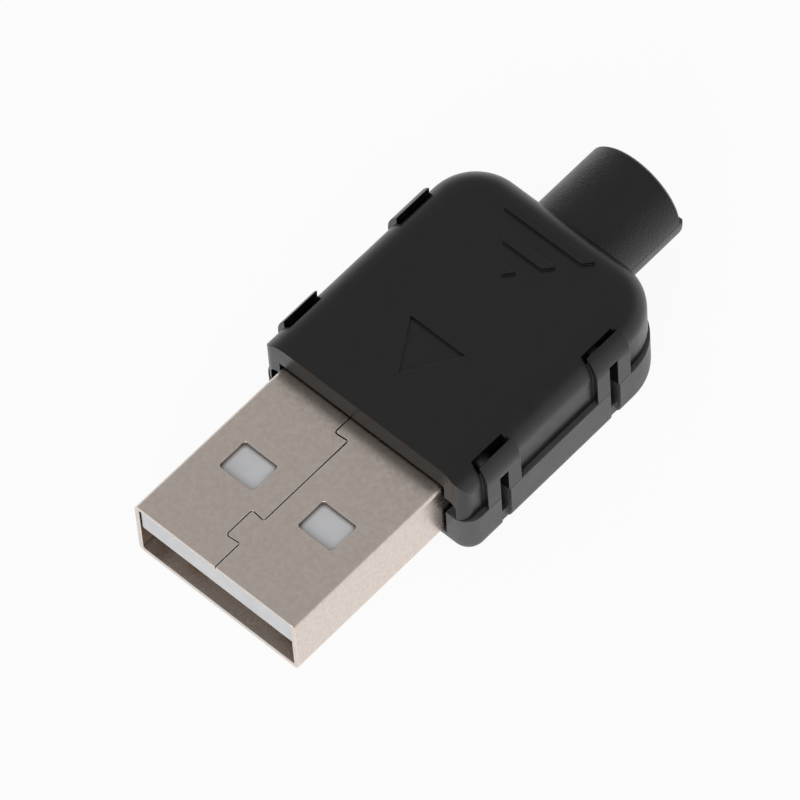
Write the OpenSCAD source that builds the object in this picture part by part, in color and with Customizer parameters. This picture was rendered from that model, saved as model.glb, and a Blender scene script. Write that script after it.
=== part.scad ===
// Solder-type USB-A plug: a folded metal shell round a white insulator with four contacts,
// held between two black snap-together covers that end in a split strain-relief tube.
// The plug's axis runs along Y, with the mouth towards -Y and the cable outlet towards +Y.
// The origin is the centre of the footprint, on the surface that the lower cover rests on.

/* [Metal shell] */
// Width of the shell
shell_w = 12; // [11.8:0.05:12.4]
// Height of the shell
shell_h = 4.5; // [4.3:0.05:4.8]
// Thickness of the folded sheet
sheet_t = 0.3; // [0.2:0.05:0.35]
// Outside radius of the four long bends
bend_r = 0.4; // [0.4:0.05:0.7]
// Length of shell that stands out of the covers
shell_exposed = 11.9; // [11.5:0.1:13]
// Length of shell that is seated in the covers
shell_seated = 6.8; // [6.4:0.1:7.4]
// Width of each latch window
window_w = 2.6; // [2.2:0.1:2.8]
// Length of each latch window along the plug
window_l = 2.15; // [1.8:0.05:2.4]
// Distance of each window's centre from the middle of the shell
window_x = 2.95; // [2.6:0.05:3.2]
// Distance of the windows' centres from the mouth
window_y = 5.95; // [5.2:0.05:6.5]
// Corner radius of the windows
window_r = 0.25; // [0.15:0.05:0.4]
// Reach of the two turned-out ears at the rear of the shell
ear_w = 0.6; // [0.5:0.05:0.7]
// Height of the ears
ear_h = 2.2; // [1.8:0.1:2.6]

/* [Seam] */
// Distance of the seam from the middle of the top face
seam_x = 0.1; // [0:0.05:0.3]
// Gap between the two edges that meet at the seam
seam_gap = 0.07; // [0.05:0.01:0.12]
// Distance from the mouth to the first dovetail
tab_y = 2; // [1.6:0.1:2.4]
// Distance from the first dovetail to the second
tab_pitch = 8.75; // [8.2:0.05:9.2]
// Length of a dovetail's neck along the seam
tab_l = 1.9; // [1.6:0.1:2.2]
// Reach of a dovetail across the seam
tab_w = 0.95; // [0.7:0.05:1.1]
// How much wider a dovetail is at its head, each side
tab_flare = 0.08; // [0.04:0.02:0.14]
// Corner radius of a dovetail's head
tab_r = 0.2; // [0.14:0.02:0.3]

/* [Insulator] */
// Thickness of the tongue
tongue_t = 1.75; // [1.6:0.05:1.95]
// Distance of the tongue's front from the mouth
tongue_set_back = 0.1; // [0.05:0.05:0.4]
// Gap between the tongue's sides and the shell
tongue_side_gap = 0.08; // [0.06:0.02:0.2]
// Depth of the hollow under the tongue
cavity_depth = 9; // [8.6:0.1:9.6]
// Length of the solder shelf behind the shell
shelf_l = 3; // [2.4:0.1:3.6]
// Working clearance of the moulded and stamped pieces, each side
fit_gap = 0.03; // [0.02:0.01:0.05]

/* [Contacts] */
// Width of a contact
contact_w = 1; // [0.9:0.05:1.15]
// Thickness of a contact
contact_t = 0.3; // [0.2:0.05:0.35]
// Height of a contact's face above the tongue
contact_proud = 0.1; // [0.06:0.02:0.16]
// Length of the ramp at a contact's front
contact_ramp = 0.4; // [0.3:0.05:0.6]
// Distance of the two data contacts from the middle
data_x = 1; // [0.9:0.05:1.1]
// Distance of the two power contacts from the middle
power_x = 3.5; // [3.4:0.05:3.6]
// Distance from the mouth to the front of the data contacts
data_start = 2.6; // [2.2:0.1:3]
// Distance from the mouth to the front of the power contacts
power_start = 1.6; // [1.2:0.1:2]
// Distance that a solder tail stops short of the shelf's rear edge
tail_margin = 0.3; // [0.2:0.05:0.5]

/* [Covers] */
// Length of the covers without the tube
cover_l = 17.3; // [16.6:0.1:18.4]
// Thickness of the upper cover's roof
roof_t = 1.2; // [1.1:0.05:1.3]
// Thickness of the lower cover's floor
floor_t = 1.2; // [1.1:0.05:1.3]
// Thickness of the side walls
side_wall = 1.1; // [1:0.05:1.2]
// Height of the ribs in the roof that hold the shell down
roof_rib_h = 0.5; // [0.4:0.05:0.7]
// Height of the ribs in the floor that the shell lies on
floor_rib_h = 0.2; // [0.15:0.05:0.4]
// Thickness of the ribs along the plug
rib_t = 0.8; // [0.6:0.1:1]
// Room between the shell's sides and the lower cover's walls
side_room = 0.75; // [0.7:0.05:0.9]
// Distance of the parting line below the middle of the shell
parting_drop = 0.25; // [0.1:0.05:0.4]
// Distance that the clips and the lower cover stand out past the upper cover's sides
clip_proud = 0.34; // [0.3:0.02:0.46]
// Radius of the upper cover's side and rear edges
top_edge_r = 1.9; // [1.4:0.1:2]
// Radius of the lower cover's bottom edges
bottom_edge_r = 1.1; // [0.8:0.05:1.1]
// Radius of the rear corners in plan, on the upper cover
rear_corner_r = 3.3; // [2.6:0.1:4]
// Radius of the front corners in plan, on the upper cover
front_corner_r = 0.8; // [0.8:0.05:1.1]
// Thickness of the front wall round the shell
front_wall = 1.4; // [1.2:0.1:1.6]
// Thickness of the rear wall that carries the tube
rear_wall = 1.2; // [1:0.1:1.6]
// Clearance of the opening round the shell
opening_gap = 0.15; // [0.1:0.05:0.2]
// Radius of the relief beside the shell in the front wall
relief_r = 0.52; // [0.4:0.02:0.6]
// Gap that shows along the parting line at the clips and the tube
parting_gap = 0.06; // [0.03:0.01:0.1]

/* [Clips] */
// Length of a clip along the plug
clip_l = 2.7; // [2.4:0.05:3]
// Distance from the covers' front to the middle of the front clips
clip_y = 3.04; // [2.9:0.02:3.4]
// Distance from the front clips to the rear clips
clip_pitch = 9.04; // [8.6:0.02:9.2]
// Thickness of the front clips
front_clip_t = 0.55; // [0.4:0.05:0.6]
// Thickness of the rear clips
rear_clip_t = 0.74; // [0.6:0.02:0.8]
// Thickness of the wall between a pocket and the inside
pocket_wall = 0.32; // [0.28:0.02:0.4]
// Length of the web that closes each pocket at the rear
pocket_web = 0.2; // [0.15:0.05:0.5]
// Distance that the pockets reach below the tops of the slots
pocket_overlap = 0.25; // [0.15:0.05:0.35]
// Width of the slot in the middle of each clip
slot_w = 0.68; // [0.6:0.02:0.76]
// Width of the window under each slot, in the lower cover
sill_w = 0.8; // [0.76:0.02:0.9]
// Height of the slot in the front clips above the parting line
front_slot_h = 2; // [1.8:0.05:2.2]
// Height of the slot in the rear clips above the parting line
rear_slot_h = 2.55; // [2.3:0.05:2.7]
// Depth of the slots below the parting line, in the lower cover
sill_depth = 2.2; // [1.8:0.1:2.3]
// Depth of the groove across the sill under each slot
sill_groove = 0.35; // [0.2:0.05:0.4]
// Height of a catch above the parting line
catch_h = 1; // [0.9:0.05:1.1]
// Reach of the nose on a catch
catch_nose = 0.12; // [0.08:0.02:0.16]
// Distance that a catch is shorter than its clip, each end
catch_margin = 0.3; // [0.2:0.05:0.4]

/* [Cable outlet] */
// Outside diameter of the strain-relief tube
tube_d = 6.7; // [6.2:0.1:6.8]
// Diameter of the hole that the cable leaves through
bore_d = 5; // [4.6:0.1:5.2]
// Length of the tube behind the covers
tube_l = 5.7; // [4.6:0.1:6.4]
// Distance that the lower half of the tube reaches past the upper half
tube_lip = 0.25; // [0.05:0.01:0.3]
// Chamfer on the tube's rear edge
tube_chamfer = 0.15; // [0.1:0.05:0.25]

/* [Marks] */
// Width of the triangle sunk in the top face
arrow_w = 4.1; // [3.6:0.1:4.6]
// Length of the triangle
arrow_l = 3.25; // [2.8:0.05:3.6]
// Distance of the triangle's point from the covers' front
arrow_y = 3.15; // [2.8:0.05:3.6]
// Depth of the triangle
arrow_depth = 0.2; // [0.1:0.05:0.3]
// Width of the longest raised bar
bars_w = 6.8; // [6:0.1:7.4]
// Length over the three bars
bars_l = 4; // [3.6:0.1:4.4]
// Length of one bar along the plug
bar_l = 0.6; // [0.5:0.05:0.7]
// Height of the bars above the top face
bar_h = 0.2; // [0.1:0.05:0.3]
// Distance from the longest bar to the covers' rear
bars_margin = 1.7; // [1.4:0.1:2]

/* [Hidden] */
$fn = 64;
SMALL = 0.01;          // how far a cutter passes the face that it cuts
FAR = 20;              // longer than any wall that a cutter passes through

// Places along the plug
overall_l = shell_exposed + cover_l + tube_l;
mouth_y = -overall_l / 2;
cover_y = mouth_y + shell_exposed;
cover_end = cover_y + cover_l;
tube_end = cover_end + tube_l;
shell_end = cover_y + shell_seated;
inner_y = cover_y + front_wall;
inner_end = cover_end - rear_wall;
block_y = mouth_y + cavity_depth;
shelf_end = shell_end + shelf_l;
rib_ys = [inner_y + rib_t, shell_end - 2 * rib_t];

// Heights
shell_base = floor_t + floor_rib_h;
shell_top = shell_base + shell_h;
shell_mid = shell_base + shell_h / 2;
shell_roof = shell_top - sheet_t;
shell_floor = shell_base + sheet_t;
roof_z = shell_top + roof_rib_h;
cover_top = roof_z + roof_t;
parting_z = shell_mid - parting_drop;
sill_z = parting_z - sill_depth;
tongue_z = shell_roof - tongue_t;
contact_z = tongue_z - contact_proud;

// Widths, each from the middle
shell_x = shell_w / 2;
shell_inner_x = shell_x - sheet_t;
opening_x = shell_x + opening_gap;
lower_inner_x = shell_x + side_room;
lower_x = lower_inner_x + side_wall;
upper_x = lower_x - clip_proud;
upper_inner_x = upper_x - side_wall;
pocket_x = upper_inner_x + pocket_wall;
catch_x = shell_x + 2 * fit_gap;
catch_out = upper_inner_x - fit_gap;

// Sizes that the covers share
upper_h = cover_top - parting_z;
strap_edge_r = top_edge_r + clip_proud;
inner_edge_r = top_edge_r - side_wall;
inner_corner_r = rear_corner_r - side_wall;
lower_corner_r = rear_corner_r + clip_proud;
lower_front_r = front_corner_r + clip_proud;
catch_l = clip_l - 2 * catch_margin;
nose_h = 2 * catch_nose;
// The four clips: the middle along the plug, the thickness and the height of the slot
CLIPS = [
    [cover_y + clip_y, front_clip_t, front_slot_h],
    [cover_y + clip_y + clip_pitch, rear_clip_t, rear_slot_h]
];

// ---- shared shapes ----

// A quarter disc in the first quadrant
module quarter_disc(r) {
    intersection() {
        circle(r);
        square(r);
    }
}

// Half of a section with its upper outer corner rounded
module half_section(w, h, r) {
    square([w - r, h]);
    square([w, h - r]);
    translate([w - r, h - r])
        quarter_disc(r);
}

// A whole section, mirrored about the middle
module full_section(w, h, r) {
    half_section(w, h, r);
    mirror([1, 0])
        half_section(w, h, r);
}

// A section drawn across the plug, extruded along it from y0 to y1
module along_plug(y0, y1) {
    translate([0, y1, 0])
        rotate([90, 0, 0])
            linear_extrude(y1 - y0)
                children();
}

// The rear end of a cover: its edge rounded, and its two corners rounded in plan
module rounded_end(w, y1, h, edge_r, corner_r) {
    y = y1 - corner_r;
    x = w - corner_r;
    translate([-x, y, 0])
        rotate([90, 0, 90])
            linear_extrude(2 * x)
                half_section(corner_r, h, edge_r);
    for (side = [0, 1])
        translate([side == 0 ? x : -x, y, 0])
            rotate([0, 0, 90 * side])
                rotate_extrude(angle = 90)
                    half_section(corner_r, h, edge_r);
}

// A cover's outside or inside: flat in front, rounded at the sides and the rear
module cover_body(w, y0, y1, h, edge_r, corner_r) {
    along_plug(y0, y1 - corner_r)
        full_section(w, h, edge_r);
    rounded_end(w, y1, h, edge_r, corner_r);
}

// The plan of a cover, with all four corners rounded
module cover_plan(w, y0, y1, front_r, rear_r) {
    translate([-w, y0 + front_r])
        square([2 * w, y1 - y0 - front_r - rear_r]);
    for (side = [-1, 1]) {
        translate([side * (w - front_r), y0 + front_r])
            circle(front_r);
        translate([side * (w - rear_r), y1 - rear_r])
            circle(rear_r);
    }
    translate([front_r - w, y0])
        square([2 * (w - front_r), front_r]);
    translate([rear_r - w, y1 - rear_r])
        square([2 * (w - rear_r), rear_r]);
}

// A box centred on x = 0, of half-width w
module centred_box(w, y0, y1, z0, z1) {
    translate([-w, y0, z0])
        cube([2 * w, y1 - y0, z1 - z0]);
}

// Puts its children on both sides of the plug
module both_sides() {
    for (side = [0, 1])
        mirror([side, 0, 0])
            children();
}

// A rod along the cable's axis
module rod(r, y0, y1) {
    translate([0, y1, parting_z])
        rotate([90, 0, 0])
            cylinder(r = r, h = y1 - y0);
}

// A rectangle with four rounded corners, centred
module rounded_rectangle(w, l, r) {
    square([w - 2 * r, l], center = true);
    square([w, l - 2 * r], center = true);
    for (x = [-1, 1], y = [-1, 1])
        translate([x * (w / 2 - r), y * (l / 2 - r)])
            circle(r);
}

// ---- metal shell ----

// The outline of one dovetail, grown by g on every side and open to the right at x1
module dovetail(g, x1) {
    x0 = -tab_w - g;
    y0 = -tab_flare - g;
    y1 = tab_l + tab_flare + g;
    r = tab_r + g;
    polygon([[x1, -g], [x0 + r, y0], [x0 + r, y1], [x1, tab_l + g]]);
    translate([x0, y0 + r])
        square([r, y1 - y0 - 2 * r]);
    for (y = [y0 + r, y1 - r])
        translate([x0 + r, y])
            circle(r);
    // The neck widens to the right in an arc, before and behind
    neck_r = tab_r - g;
    for (side = [-1, 1])
        translate([x1, side < 0 ? -g : tab_l + g])
            difference() {
                translate([-neck_r, side < 0 ? -neck_r : 0])
                    square(neck_r);
                translate([-neck_r, side * neck_r])
                    circle(neck_r);
            }
}

// The gap of the seam in plan: a straight line that steps round each dovetail
module seam() {
    g = seam_gap / 2;
    starts = [tab_y, tab_y + tab_pitch];
    difference() {
        union() {
            translate([-g, -SMALL])
                square([seam_gap, shell_exposed + shell_seated + 2 * SMALL]);
            for (y = starts)
                translate([0, y])
                    dovetail(g, g);
        }
        for (y = starts)
            translate([0, y])
                dovetail(-g, g + SMALL);
    }
}

module metal_shell() {
    color("silver")
    difference() {
        union() {
            translate([0, 0, shell_mid])
                along_plug(mouth_y, shell_end)
                    difference() {
                        rounded_rectangle(shell_w, shell_h, bend_r);
                        rounded_rectangle(shell_w - 2 * sheet_t, shell_h - 2 * sheet_t,
                                          bend_r - sheet_t);
                    }
            both_sides()
                translate([shell_inner_x, shell_end - sheet_t, shell_mid - ear_h / 2])
                    cube([sheet_t + ear_w, sheet_t, ear_h]);
        }
        for (side = [-1, 1], z = [shell_top, shell_base])
            translate([side * window_x, mouth_y + window_y, z])
                linear_extrude(2 * sheet_t + 2 * SMALL, center = true)
                    rounded_rectangle(window_w, window_l, window_r);
        translate([seam_x, mouth_y, shell_roof - SMALL])
            linear_extrude(sheet_t + 2 * SMALL)
                seam();
    }
}

// ---- insulator ----

// A groove that holds one contact, open downwards under the tongue and the shelf,
// and closed all round inside the block
module contact_groove(x, start) {
    w = contact_w / 2 + fit_gap;
    translate([x - w, mouth_y + start - fit_gap, contact_z - fit_gap])
        cube([2 * w, overall_l, contact_t + fit_gap]);
}

module insulator() {
    block_x = shell_inner_x - fit_gap;
    corner = bend_r - sheet_t + fit_gap;
    color("whitesmoke")
    difference() {
        union() {
            translate([0, 0, shell_roof - tongue_t / 2])
                along_plug(mouth_y + tongue_set_back, block_y + SMALL)
                    rounded_rectangle(2 * (shell_inner_x - tongue_side_gap), tongue_t, corner);
            translate([0, 0, (shell_floor + fit_gap + shell_roof) / 2])
                along_plug(block_y, shell_end)
                    rounded_rectangle(2 * block_x, shell_roof - shell_floor - fit_gap, corner);
            centred_box(block_x - sheet_t, shell_end - SMALL, shelf_end, tongue_z, shell_roof);
        }
        for (side = [-1, 1]) {
            contact_groove(side * data_x, data_start);
            contact_groove(side * power_x, power_start);
        }
    }
}

// ---- contacts ----

// One contact: a flat strip with a ramp in front and a bevelled solder tail
module contact(x, start) {
    y0 = mouth_y + start;
    y1 = shelf_end - tail_margin;
    color("gold")
    translate([x - contact_w / 2, 0, contact_z])
        rotate([90, 0, 90])
            linear_extrude(contact_w)
                polygon([
                    [y0, contact_proud],
                    [y0 + contact_ramp, 0],
                    [y1 - contact_t, 0],
                    [y1, contact_t / 2],
                    [y1, contact_t],
                    [y0, contact_t]
                ]);
}

module contact_vbus() contact(power_x, power_start);
module contact_data_minus() contact(data_x, data_start);
module contact_data_plus() contact(-data_x, data_start);
module contact_ground() contact(-power_x, power_start);

// ---- what the covers share ----

// Half of the strain-relief tube, cut later at the parting line
module tube(y1) {
    r = tube_d / 2;
    rod(r, inner_end, y1 - tube_chamfer);
    translate([0, y1, parting_z])
        rotate([90, 0, 0])
            cylinder(r1 = r - tube_chamfer, r2 = r, h = tube_chamfer);
}

// Everything between two heights
module slab(z0, z1) {
    translate([-FAR, mouth_y - FAR, z0])
        cube([2 * FAR, overall_l + 2 * FAR, z1 - z0]);
}

module cable_bore() {
    rod(bore_d / 2, inner_end - SMALL, tube_end + SMALL);
}

// The slots in the side walls that take the shell's ears
module ear_slots() {
    both_sides()
        translate([shell_x - SMALL, shell_end - sheet_t - fit_gap, shell_mid - ear_h / 2 - fit_gap])
            cube([ear_w + fit_gap + SMALL, sheet_t + 2 * fit_gap, ear_h + 2 * fit_gap]);
}

// The catch across the plug, grown by g: a post with a nose that points outwards
module catch_section(g) {
    top = catch_h + g;
    polygon([
        [catch_x - g, -SMALL],
        [catch_out + g, -SMALL],
        [catch_out + g, top - nose_h - 2 * g],
        [catch_out + catch_nose + g, top - nose_h - g],
        [catch_out + catch_nose + g, top - nose_h / 2],
        [catch_out + g, top],
        [catch_x - g, top]
    ]);
}

// ---- upper cover ----

// A pair of clips' outsides: a short length of a section that stands out past the sides
module clip_straps(clip) {
    h = upper_h + clip_proud;
    inner_x = lower_x - clip[1];
    translate([0, 0, parting_z])
        along_plug(clip[0] - clip_l / 2, clip[0] + clip_l / 2)
            difference() {
                full_section(lower_x, h, strap_edge_r);
                translate([-inner_x, -SMALL])
                    square([2 * inner_x, h + 2 * SMALL]);
                translate([-lower_x - SMALL, -SMALL])
                    square([2 * (lower_x + SMALL), parting_gap + SMALL]);
            }
}

// The pocket that parts a clip from the cover's edge, the slot in its middle and the room
// for the catch behind it
module clip_cuts(clip) {
    pocket_floor = parting_z + clip[2] - pocket_overlap;
    translate([pocket_x, clip[0] - clip_l / 2 - parting_gap, pocket_floor])
        cube([lower_x - clip[1] - pocket_x, clip_l - pocket_web, FAR]);
    translate([upper_inner_x - fit_gap, clip[0] - slot_w / 2, parting_z - SMALL])
        cube([FAR, slot_w, clip[2] + SMALL]);
    translate([0, 0, parting_z])
        along_plug(clip[0] - catch_l / 2 - fit_gap, clip[0] + catch_l / 2 + fit_gap)
            catch_section(fit_gap);
}

// The triangle sunk in the top face
module arrow() {
    translate([0, cover_y + arrow_y, cover_top - arrow_depth])
        linear_extrude(arrow_depth + SMALL)
            polygon([[0, 0], [arrow_w / 2, arrow_l], [-arrow_w / 2, arrow_l]]);
}

// Three bars cut out of one triangle that points to the mouth
module bars() {
    pitch = (bars_l - bar_l) / 2;
    translate([0, cover_end - bars_margin - bars_l, cover_top - SMALL])
        linear_extrude(bar_h + SMALL)
            intersection() {
                polygon([[0, 0], [bars_w / 2, bars_l], [-bars_w / 2, bars_l]]);
                for (i = [0 : 2])
                    translate([-bars_w / 2, i * pitch])
                        square([bars_w, bar_l]);
            }
}

// The round-headed relief beside the shell in the front wall
module front_relief() {
    head_z = parting_z + 2 * relief_r;
    translate([opening_x + relief_r / 2, cover_y - SMALL, head_z])
        rotate([-90, 0, 0])
            cylinder(r = relief_r, h = front_wall / 2);
    translate([opening_x - relief_r / 2, cover_y - SMALL, parting_z - SMALL])
        cube([2 * relief_r, front_wall / 2, head_z - parting_z]);
}

module upper_shell() {
    difference() {
        intersection() {
            translate([0, 0, parting_z])
                cover_body(upper_x, cover_y, cover_end, upper_h, top_edge_r, rear_corner_r);
            linear_extrude(cover_top)
                cover_plan(upper_x, cover_y, cover_end, front_corner_r, rear_corner_r);
        }
        translate([0, 0, parting_z - SMALL])
            cover_body(upper_inner_x, inner_y, inner_end, roof_z - parting_z + SMALL,
                       inner_edge_r, inner_corner_r);
        arrow();
    }
}

module upper_cover() {
    color("#262626")
    difference() {
        union() {
            upper_shell();
            intersection() {
                tube(tube_end - tube_lip);
                slab(parting_z + parting_gap, cover_top);
            }
            for (clip = CLIPS)
                clip_straps(clip);
            bars();
            for (y = rib_ys)
                centred_box(shell_x - rib_t, y, y + rib_t, shell_top, roof_z + SMALL);
        }
        centred_box(opening_x, cover_y - SMALL, inner_y + SMALL,
                    parting_z - SMALL, shell_top + opening_gap);
        both_sides() {
            for (clip = CLIPS)
                clip_cuts(clip);
            front_relief();
        }
        ear_slots();
        cable_bore();
    }
}

// ---- lower cover ----

// The lower cover's outside: all its bottom edges and corners are rounded
module lower_body() {
    middle = (cover_y + cover_end) / 2;
    translate([0, 0, parting_z])
        mirror([0, 0, 1]) {
            cover_body(lower_x, middle, cover_end, parting_z, bottom_edge_r, lower_corner_r);
            translate([0, 2 * middle, 0])
                mirror([0, 1, 0])
                    cover_body(lower_x, middle, cover_end, parting_z, bottom_edge_r, lower_front_r);
        }
}

module lower_shell() {
    difference() {
        lower_body();
        translate([0, 0, floor_t])
            linear_extrude(parting_z)
                cover_plan(lower_inner_x, inner_y, inner_end, side_room - opening_gap, inner_corner_r);
    }
}

// A catch that stands in the room beside the shell, joined to the side wall
module catch(clip) {
    translate([0, 0, parting_z])
        along_plug(clip[0] - catch_l / 2, clip[0] + catch_l / 2) {
            catch_section(0);
            translate([catch_x, floor_t - parting_z - SMALL])
                square([lower_inner_x - catch_x + SMALL, parting_z - floor_t + SMALL]);
        }
}

// The window below a clip's slot, and the groove across the sill under it
module sill_cuts(clip) {
    translate([lower_inner_x - fit_gap, clip[0] - slot_w / 2, sill_z])
        cube([FAR, sill_w, parting_z]);
    translate([lower_x - sill_groove, clip[0] - slot_w / 2, -SMALL])
        cube([FAR, sill_w, parting_z + 2 * SMALL]);
}

module lower_cover() {
    color("#2b2a29")
    difference() {
        union() {
            lower_shell();
            intersection() {
                tube(tube_end);
                slab(0, parting_z);
            }
            for (y = rib_ys)
                centred_box(shell_x - rib_t, y, y + rib_t, floor_t - SMALL, shell_base);
            both_sides()
                for (clip = CLIPS)
                    catch(clip);
        }
        centred_box(opening_x, cover_y - SMALL, inner_y + SMALL,
                    shell_base - opening_gap, parting_z + SMALL);
        both_sides()
            for (clip = CLIPS)
                sill_cuts(clip);
        ear_slots();
        cable_bore();
    }
}

metal_shell();
insulator();
contact_vbus();
contact_data_minus();
contact_data_plus();
contact_ground();
upper_cover();
lower_cover();
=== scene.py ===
"""Looks of a solder-type USB-A plug: plated shell, white insulator, black snap-together covers.

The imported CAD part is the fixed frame. Each sub-assembly below dresses its own nodes with a
procedural finish, and the studio adds a pale floor, soft light and the camera.
"""

from __future__ import annotations

import logging
import math
from dataclasses import dataclass, field
from enum import Enum
from typing import Any, Mapping, Sequence

import bpy
from mathutils import Matrix, Vector


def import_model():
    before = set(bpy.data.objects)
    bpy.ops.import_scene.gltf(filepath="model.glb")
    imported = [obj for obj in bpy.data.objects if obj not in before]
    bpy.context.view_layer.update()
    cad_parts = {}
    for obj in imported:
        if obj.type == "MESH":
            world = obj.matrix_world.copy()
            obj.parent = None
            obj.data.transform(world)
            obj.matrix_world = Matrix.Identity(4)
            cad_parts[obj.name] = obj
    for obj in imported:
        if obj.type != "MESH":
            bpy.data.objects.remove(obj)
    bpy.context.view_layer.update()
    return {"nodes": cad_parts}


LOG = logging.getLogger("usb_a_plug")
MM = 0.001
WHITE = (1.0, 1.0, 1.0, 1.0)

# Sockets of a Mix node that share their names between its number and colour forms.
FACTOR = 0
NUMBER_A, NUMBER_B, NUMBER_OUT = 2, 3, 0
COLOUR_A, COLOUR_B, COLOUR_OUT = 6, 7, 2

# Where a pattern's grey value starts and ends to count.
MOTTLE_RANGE = (0.35, 0.65)
# Bevel turn at which the lighter edge colour, partly wear and partly painted highlight, starts
# and is full.
WEAR_AND_HIGHLIGHT_TURN = (0.995, 0.9)
# Openness at which the painted crevice shade starts, and where it is full.
CREVICE_SHADE_RANGE = (0.9, 0.5)
GRAIN_FADE_MM = 0.05
EDGE_SAMPLES = 8


class Slot(Enum):
    """Names of the material slots."""

    SHELL = "shell_plate"
    INSULATOR = "white_plastic"
    CONTACT = "contact_plate"
    UPPER = "cover_smooth"
    LOWER = "cover_grained"


def linear(hex_colour: str) -> tuple[float, float, float, float]:
    """Turns an sRGB hex colour into linear RGBA.

    Args:
        hex_colour: a colour such as "#2b2a29".

    Returns:
        Linear red, green and blue, and an alpha of 1.
    """
    channels = [int(hex_colour[i:i + 2], 16) / 255 for i in (1, 3, 5)]
    rgb = [c / 12.92 if c <= 0.04045 else ((c + 0.055) / 1.055) ** 2.4 for c in channels]
    return (*rgb, 1.0)


def add_node(
    tree: bpy.types.NodeTree,
    kind: str,
    inputs: Mapping[str | int, Any] | None = None,
    **settings: Any,
) -> bpy.types.Node:
    """Adds one node with its settings, values and links.

    Args:
        tree: the node tree to add to.
        kind: the node's type name.
        inputs: a value or an output socket for each named or numbered input.
        settings: attributes of the node itself.

    Returns:
        The new node.
    """
    node = tree.nodes.new(kind)
    for name, value in settings.items():
        setattr(node, name, value)
    for key, value in (inputs or {}).items():
        if isinstance(value, bpy.types.NodeSocket):
            tree.links.new(value, node.inputs[key])
        else:
            node.inputs[key].default_value = value
    return node


@dataclass(frozen=True)
class Grain:
    """A fine pattern in the surface, drawn as noise in the part's own space.

    Attributes:
        size_mm: width of one grain.
        stretch: how many times longer the grain is along X, Y and Z.
        height_mm: how high the grain stands.
        detail: how many finer layers the noise has.
    """

    size_mm: float
    height_mm: float
    stretch: tuple[float, float, float] = (1.0, 1.0, 1.0)
    detail: float = 2.0

    def noise(self, tree: bpy.types.NodeTree) -> bpy.types.NodeSocket:
        """Draws the pattern.

        Args:
            tree: the material's node tree.

        Returns:
            The pattern's grey value, from 0 to 1.
        """
        place = add_node(tree, "ShaderNodeTexCoord").outputs["Object"]
        squeeze = tuple(1 / factor for factor in self.stretch)
        mapped = add_node(tree, "ShaderNodeMapping", {"Vector": place, "Scale": squeeze})
        noise = add_node(
            tree,
            "ShaderNodeTexNoise",
            {
                "Vector": mapped.outputs["Vector"],
                "Scale": 1 / (self.size_mm * MM),
                "Detail": self.detail,
                "Roughness": 0.6,
            },
        )
        return noise.outputs["Fac"]


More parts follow.
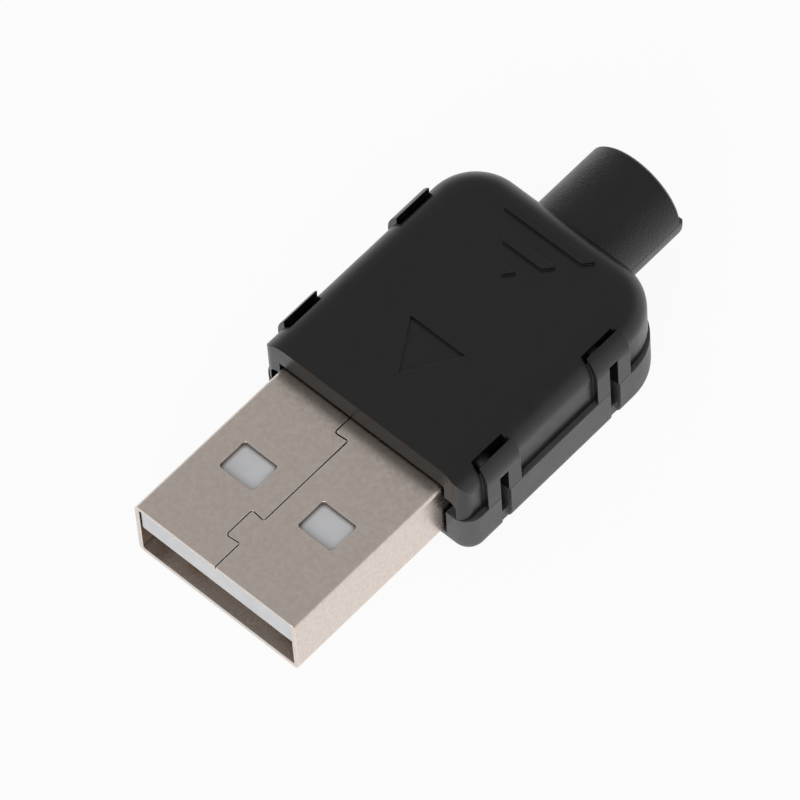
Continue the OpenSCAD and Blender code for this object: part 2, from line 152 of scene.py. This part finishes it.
@dataclass(frozen=True)
class Finish:
    """A moulded or plated surface: colour, shine, grain, lighter edges that are partly wear and
    partly painted highlight, and painted shade in crevices.

    Attributes:
        name: the real material and how its surface was made.
        colour: main colour.
        shade: second colour, which the mottle brings in.
        roughness: lowest and highest roughness, which the mottle moves between.
        grain: fine pattern in the surface.
        wear_and_highlight: colour of the outer edges, partly wear and partly painted highlight.
        mottle_mm: size of the patches of the second colour.
        metallic: 1 for a metal.
        ior: index of refraction; a metal keeps the default.
        edge_mm: radius that light finds on sharp edges.
        wear_and_highlight_mm: width of the band along an edge that gets the worn and
            painted-highlight colour.
        grain_from_mm: place along the plug where the full grain starts, if it has one.
        grain_before: share of the grain before that place.
        crevice_shade: colour of the painted shade that corners and gaps fall to, if any.
        crevice_shade_mm: how far from a corner the painted shade starts.
    """

    name: str
    colour: str
    shade: str
    roughness: tuple[float, float]
    grain: Grain
    wear_and_highlight: str
    mottle_mm: float = 1.2
    metallic: float = 0.0
    ior: float = 1.5
    edge_mm: float = 0.06
    wear_and_highlight_mm: float = 0.12
    grain_from_mm: float | None = None
    grain_before: float = 0.12
    crevice_shade: str | None = None
    crevice_shade_mm: float = 0.3

    def build(self) -> bpy.types.Material:
        """Builds the node material.

        Returns:
            The new material.
        """
        material = bpy.data.materials.new(self.name)
        material.use_nodes = True
        tree = material.node_tree
        tree.nodes.clear()
        mottle = Grain(self.mottle_mm, 0.0, detail=4.0).noise(tree)
        spread = add_node(
            tree,
            "ShaderNodeMapRange",
            {"Value": mottle, "From Min": MOTTLE_RANGE[0], "From Max": MOTTLE_RANGE[1]},
        ).outputs["Result"]
        tint = add_node(
            tree,
            "ShaderNodeMix",
            {FACTOR: spread, COLOUR_A: linear(self.colour), COLOUR_B: linear(self.shade)},
            data_type="RGBA",
        ).outputs[COLOUR_OUT]
        # Lighter outer edges: partly wear, partly painted highlight.
        worn_and_highlighted = add_node(
            tree,
            "ShaderNodeMix",
            {FACTOR: self._edge_wear_and_highlight(tree, mottle), COLOUR_A: tint, COLOUR_B: linear(self.wear_and_highlight)},
            data_type="RGBA",
        ).outputs[COLOUR_OUT]
        low, high = self.roughness
        rough = add_node(
            tree,
            "ShaderNodeMapRange",
            {"Value": spread, "To Min": low, "To Max": high},
        ).outputs["Result"]
        shader = add_node(
            tree,
            "ShaderNodeBsdfPrincipled",
            {
                "Base Color": self._paint_crevice_shade(tree, worn_and_highlighted),
                "Metallic": self.metallic,
                "Roughness": rough,
                "IOR": self.ior,
                "Normal": self._relief(tree),
            },
        )
        add_node(tree, "ShaderNodeOutputMaterial", {"Surface": shader.outputs["BSDF"]})
        return material

    def _paint_crevice_shade(
        self, tree: bpy.types.NodeTree, colour: bpy.types.NodeSocket
    ) -> bpy.types.NodeSocket:
        """Paints shade into the colour in corners and gaps, where shade falls.

        Args:
            tree: the material's node tree.
            colour: colour of the open faces.

        Returns:
            The colour with its crevices.
        """
        if self.crevice_shade is None:
            return colour
        # Ambient occlusion finds corners and gaps; the crevice colour there is painted shade.
        open_share = add_node(
            tree,
            "ShaderNodeAmbientOcclusion",
            {"Distance": self.crevice_shade_mm * MM},
            samples=EDGE_SAMPLES,
        ).outputs["AO"]
        crevice_shade_share = add_node(
            tree,
            "ShaderNodeMapRange",
            {"Value": open_share, "From Min": CREVICE_SHADE_RANGE[0], "From Max": CREVICE_SHADE_RANGE[1]},
        ).outputs["Result"]
        return add_node(
            tree,
            "ShaderNodeMix",
            {FACTOR: crevice_shade_share, COLOUR_A: colour, COLOUR_B: linear(self.crevice_shade)},
            data_type="RGBA",
        ).outputs[COLOUR_OUT]

    def _edge_wear_and_highlight(
        self, tree: bpy.types.NodeTree, mottle: bpy.types.NodeSocket
    ) -> bpy.types.NodeSocket:
        """Finds the outer edges, in uneven patches, for the lighter colour of wear and painted
        highlight.

        Args:
            tree: the material's node tree.
            mottle: pattern that breaks the band up.

        Returns:
            Share of the wear and painted-highlight colour, from 0 on a flat face to 1 on an edge.
        """
        rounded = add_node(
            tree, "ShaderNodeBevel", {"Radius": self.wear_and_highlight_mm * MM}, samples=EDGE_SAMPLES
        )
        flat = add_node(tree, "ShaderNodeNewGeometry").outputs["Normal"]
        turn = add_node(
            tree,
            "ShaderNodeVectorMath",
            {0: rounded.outputs["Normal"], 1: flat},
            operation="DOT_PRODUCT",
        ).outputs["Value"]
        band = add_node(
            tree,
            "ShaderNodeMapRange",
            {"Value": turn, "From Min": WEAR_AND_HIGHLIGHT_TURN[0], "From Max": WEAR_AND_HIGHLIGHT_TURN[1]},
        ).outputs["Result"]
        return add_node(
            tree, "ShaderNodeMath", {0: band, 1: mottle}, operation="MULTIPLY"
        ).outputs["Value"]

    def _relief(self, tree: bpy.types.NodeTree) -> bpy.types.NodeSocket:
        """Rounds sharp edges and adds the grain to the normal.

        Args:
            tree: the material's node tree.

        Returns:
            The normal socket for the shader.
        """
        edge = add_node(
            tree, "ShaderNodeBevel", {"Radius": self.edge_mm * MM}, samples=EDGE_SAMPLES
        )
        bump = add_node(
            tree,
            "ShaderNodeBump",
            {
                "Strength": 1.0,
                "Distance": self.grain.height_mm * MM,
                "Height": self.grain.noise(tree),
                "Normal": edge.outputs["Normal"],
            },
        )
        if self.grain_from_mm is not None:
            place = add_node(tree, "ShaderNodeTexCoord").outputs["Object"]
            along = add_node(tree, "ShaderNodeSeparateXYZ", {"Vector": place}).outputs["Y"]
            start, fade = self.grain_from_mm * MM, GRAIN_FADE_MM * MM
            share = add_node(
                tree,
                "ShaderNodeMapRange",
                {
                    "Value": along,
                    "From Min": start - fade,
                    "From Max": start + fade,
                    "To Min": self.grain_before,
                },
            )
            tree.links.new(share.outputs["Result"], bump.inputs["Strength"])
        return bump.outputs["Normal"]


@dataclass
class SubAssembly:
    """A group of CAD nodes that share one finish.

    Attributes:
        nodes: names of the CAD nodes.
        slot: the name of its material slot, which is logged.
        finish: what the surface is.
    """

    nodes: Sequence[str]
    slot: Slot
    finish: Finish

    def dress(self, shown: Mapping[str, bpy.types.Object]) -> None:
        """Gives each node its finish.

        Args:
            shown: the frame's objects by node name.
        """
        material = self.finish.build()
        for name in self.nodes:
            piece = shown[name]
            piece.data.materials.clear()
            piece.data.materials.append(material)
            LOG.info("%s, slot %s: %s", name, self.slot.value, self.finish.name)


@dataclass
class MetalShell(SubAssembly):
    """The folded shell: nickel plate over rolled steel, seen as a soft, warm satin."""

    nodes: Sequence[str] = ("metal_shell",)
    slot: Slot = Slot.SHELL
    # Nickel on rolled steel: a soft warm mirror, mottled where the sheet was rolled and bent.
    finish: Finish = Finish(
        name="nickel_plated_rolled_steel",
        colour="#e1d6cd",
        shade="#d8cbc1",
        # Near-white edge colour: painted highlight on the bends and cut edges, with some wear.
        wear_and_highlight="#f7f3ef",
        # Brown crevice colour: painted shade in the shell's corners.
        crevice_shade="#8d7c6e",
        roughness=(0.25, 0.34),
        metallic=1.0,
        mottle_mm=0.3,
        edge_mm=0.07,
        grain=Grain(size_mm=0.22, height_mm=0.0028, stretch=(1.0, 1.6, 1.0), detail=3.0),
    )


@dataclass
class Insulator(SubAssembly):
    """The tongue and its block: white PBT from a fine-ground mould, with a low sheen."""

    nodes: Sequence[str] = ("insulator",)
    slot: Slot = Slot.INSULATOR
    # PBT from a fine-ground mould: a cool white with a low, even sheen.
    finish: Finish = Finish(
        name="moulded_white_pbt",
        colour="#dddee0",
        shade="#d7d8db",
        wear_and_highlight="#e8e8e9",
        # Grey crevice colour: painted shade in the gaps under the shell's windows.
        crevice_shade="#8e8c8c",
        roughness=(0.38, 0.48),
        ior=1.55,
        edge_mm=0.05,
        grain=Grain(size_mm=0.12, height_mm=0.001),
    )


@dataclass
class Contacts(SubAssembly):
    """Four stamped phosphor-bronze contacts under a thin gold plate, bright and yellow."""

    nodes: Sequence[str] = (
        "contact_vbus",
        "contact_data_minus",
        "contact_data_plus",
        "contact_ground",
    )
    slot: Slot = Slot.CONTACT
    # Gold on stamped bronze: bright yellow, drawn out along the strip.
    finish: Finish = Finish(
        name="gold_plated_phosphor_bronze",
        colour="#e3c06a",
        shade="#d6ae55",
        wear_and_highlight="#efd48c",
        roughness=(0.18, 0.28),
        metallic=1.0,
        edge_mm=0.03,
        grain=Grain(size_mm=0.1, height_mm=0.0008, stretch=(1.0, 4.0, 1.0)),
    )


@dataclass
class UpperCover(SubAssembly):
    """The upper cover: black ABS from a polished mould, with a spark-eroded grain on the tube."""

    nodes: Sequence[str] = ("upper_cover",)
    slot: Slot = Slot.UPPER
    # ABS from a polished mould: deep black that mirrors its surroundings at a low angle.
    finish: Finish = Finish(
        name="moulded_black_abs",
        colour="#101010",
        shade="#151414",
        wear_and_highlight="#1f1e1e",
        roughness=(0.28, 0.35),
        ior=1.48,
        grain=Grain(size_mm=0.12, height_mm=0.042, detail=2.0),
        grain_from_mm=11.75,
    )


@dataclass
class LowerCover(SubAssembly):
    """The lower cover: the same black ABS, from a mould with a spark-eroded grain all over."""

    nodes: Sequence[str] = ("lower_cover",)
    slot: Slot = Slot.LOWER
    # ABS from a spark-eroded mould: the same black, with its colour painted grey for the sheen
    # that its fine sandy grain scatters; the grain is drawn as coarse as it needs to show.
    finish: Finish = Finish(
        name="spark_eroded_black_abs",
        colour="#484849",
        shade="#515153",
        wear_and_highlight="#5c5c5e",
        roughness=(0.4, 0.5),
        ior=1.57,
        grain=Grain(size_mm=0.12, height_mm=0.042, detail=2.0),
    )


@dataclass
class Camera:
    """A long-lens camera that looks down on the plug from its mouth's right side.

    Attributes:
        azimuth: direction of view; 0 looks along +Y, in degrees.
        elevation: height above the horizon, in degrees.
        roll: turn about the line of sight, in degrees.
        distance: distance from the aim, in metres.
        lens: focal length in millimetres on a 36 mm sensor.
        aim: the point in the middle of the frame, in millimetres.
    """

    azimuth: float = 46.546
    elevation: float = 57.528
    roll: float = -4.825
    distance: float = 0.4872
    lens: float = 396.5
    aim: tuple[float, float, float] = (0.0, -2.45, 4.9)

    def build(self) -> bpy.types.Object:
        """Makes the camera and sets it as the scene's own.

        Returns:
            The camera object.
        """
        a, e, r = (math.radians(v) for v in (self.azimuth, self.elevation, self.roll))
        back = Vector((math.sin(a) * math.cos(e), -math.cos(a) * math.cos(e), math.sin(e)))
        level = Vector((math.cos(a), math.sin(a), 0.0))
        up = back.cross(level)
        right_turned = level * math.cos(r) + up * math.sin(r)
        up_turned = up * math.cos(r) - level * math.sin(r)
        data = bpy.data.cameras.new("camera")
        data.lens = self.lens
        data.sensor_width = 36.0
        data.clip_end = 20.0
        camera = bpy.data.objects.new("camera", data)
        bpy.context.scene.collection.objects.link(camera)
        turn = Matrix((right_turned, up_turned, back)).transposed().to_4x4()
        place = Vector(self.aim) * MM + back * self.distance
        camera.matrix_world = Matrix.Translation(place) @ turn
        bpy.context.scene.camera = camera
        return camera


@dataclass
class SoftBox:
    """A square soft light that points at the plug.

    Attributes:
        name: the light's name.
        azimuth: where it stands; 0 is in front of the mouth, 90 to the right, in degrees.
        elevation: height above the horizon, in degrees.
        distance: distance from the plug, in metres.
        width: side of the square, in metres.
        power: radiant power, in watts.
    """

    name: str
    azimuth: float
    elevation: float
    distance: float
    width: float
    power: float

    def build(self) -> bpy.types.Object:
        """Makes the light.

        Returns:
            The light object.
        """
        a, e = math.radians(self.azimuth), math.radians(self.elevation)
        away = Vector((math.sin(a) * math.cos(e), -math.cos(a) * math.cos(e), math.sin(e)))
        data = bpy.data.lights.new(self.name, "AREA")
        data.shape = "SQUARE"
        data.size = self.width
        data.energy = self.power
        light = bpy.data.objects.new(self.name, data)
        bpy.context.scene.collection.objects.link(light)
        turn = away.to_track_quat("Z", "Y").to_matrix().to_4x4()
        light.matrix_world = Matrix.Translation(away * self.distance) @ turn
        return light


@dataclass
class Studio:
    """A pale floor, a dome of soft light and one soft box.

    Attributes:
        floor_width: side of the square floor, in metres.
        floor_colour: colour of the floor.
        floor_glow: share of the floor that the camera and gloss see as plain white.
        low_sky: brightness of the dome at the horizon, as gloss sees it.
        high_sky: brightness of the dome overhead, as gloss sees it.
        sky_light: brightness of the dome for all other light.
        low_height: sine of the height up to which the dome is as at the horizon.
        high_height: sine of the height from which the dome is as overhead.
        boxes: the soft boxes.
    """

    floor_width: float = 3.0
    floor_colour: str = "#f2f1f0"
    floor_glow: float = 0.93
    low_sky: float = 0.8
    high_sky: float = 0.472
    sky_light: float = 0.496
    low_height: float = 0.02
    high_height: float = 0.32
    boxes: list[SoftBox] = field(
        default_factory=lambda: [SoftBox("key_box", 25.0, 28.0, 0.6, 0.3, 1.2)]
    )

    def build(self) -> None:
        """Makes the floor, the dome and the lights."""
        self._floor()
        self._dome()
        for box in self.boxes:
            box.build()
        bpy.context.scene.view_settings.view_transform = "Standard"

    def _floor(self) -> None:
        """Lays the floor, which looks nearly white but keeps the plug's shadow."""
        half = self.floor_width / 2
        mesh = bpy.data.meshes.new("floor")
        corners = [(-half, -half, 0), (half, -half, 0), (half, half, 0), (-half, half, 0)]
        mesh.from_pydata(corners, [], [(0, 1, 2, 3)])
        floor = bpy.data.objects.new("floor", mesh)
        bpy.context.scene.collection.objects.link(floor)
        material = bpy.data.materials.new("white_seamless_paper")
        material.use_nodes = True
        tree = material.node_tree
        tree.nodes.clear()
        paper = add_node(tree, "ShaderNodeBsdfDiffuse", {"Color": linear(self.floor_colour)})
        white = add_node(tree, "ShaderNodeEmission", {"Color": WHITE})
        path = add_node(tree, "ShaderNodeLightPath")
        seen = path.outputs["Is Camera Ray"]
        for ray in ("Is Glossy Ray", "Is Transmission Ray"):
            seen = add_node(
                tree,
                "ShaderNodeMath",
                {0: seen, 1: path.outputs[ray]},
                operation="MAXIMUM",
            ).outputs[0]
        share = add_node(
            tree, "ShaderNodeMath", {0: seen, 1: self.floor_glow}, operation="MULTIPLY"
        )
        mix = add_node(
            tree,
            "ShaderNodeMixShader",
            {0: share.outputs[0], 1: paper.outputs[0], 2: white.outputs[0]},
        )
        add_node(tree, "ShaderNodeOutputMaterial", {"Surface": mix.outputs[0]})
        mesh.materials.append(material)

    def _dome(self) -> None:
        """Sets the world: even light for all, and a pale horizon under a grey sky for gloss."""
        world = bpy.data.worlds.new("dome")
        world.use_nodes = True
        bpy.context.scene.world = world
        tree = world.node_tree
        tree.nodes.clear()
        way = add_node(tree, "ShaderNodeTexCoord").outputs["Generated"]
        height = add_node(tree, "ShaderNodeSeparateXYZ", {"Vector": way}).outputs["Z"]
        sky = add_node(
            tree,
            "ShaderNodeMapRange",
            {
                "Value": height,
                "From Min": self.low_height,
                "From Max": self.high_height,
                "To Min": self.low_sky,
                "To Max": self.high_sky,
            },
            interpolation_type="SMOOTHSTEP",
        )
        path = add_node(tree, "ShaderNodeLightPath")
        level = add_node(
            tree,
            "ShaderNodeMix",
            {
                FACTOR: path.outputs["Is Glossy Ray"],
                NUMBER_A: self.sky_light,
                NUMBER_B: sky.outputs["Result"],
            },
        )
        white = add_node(
            tree,
            "ShaderNodeMix",
            {
                FACTOR: path.outputs["Is Camera Ray"],
                NUMBER_A: level.outputs[NUMBER_OUT],
                NUMBER_B: 1.0,
            },
        )
        light = add_node(
            tree,
            "ShaderNodeBackground",
            {"Color": WHITE, "Strength": white.outputs[NUMBER_OUT]},
        )
        add_node(tree, "ShaderNodeOutputWorld", {"Surface": light.outputs["Background"]})


def corners(bounds: tuple[Vector, Vector]) -> list[list[float]]:
    """Turns the two corners of a box into plain lists.

    Args:
        bounds: lowest and highest corner.

    Returns:
        The same corners as lists of numbers.
    """
    return [list(bounds[0]), list(bounds[1])]


def main() -> None:
    """Loads the frame, dresses every sub-assembly and lights the plug."""
    logging.basicConfig(level=logging.INFO, format="%(name)s %(message)s")
    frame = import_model()
    for part in (MetalShell(), Insulator(), Contacts(), UpperCover(), LowerCover()):
        part.dress(frame["nodes"])
    Camera().build()
    Studio().build()


if __name__ == "__main__":
    main()
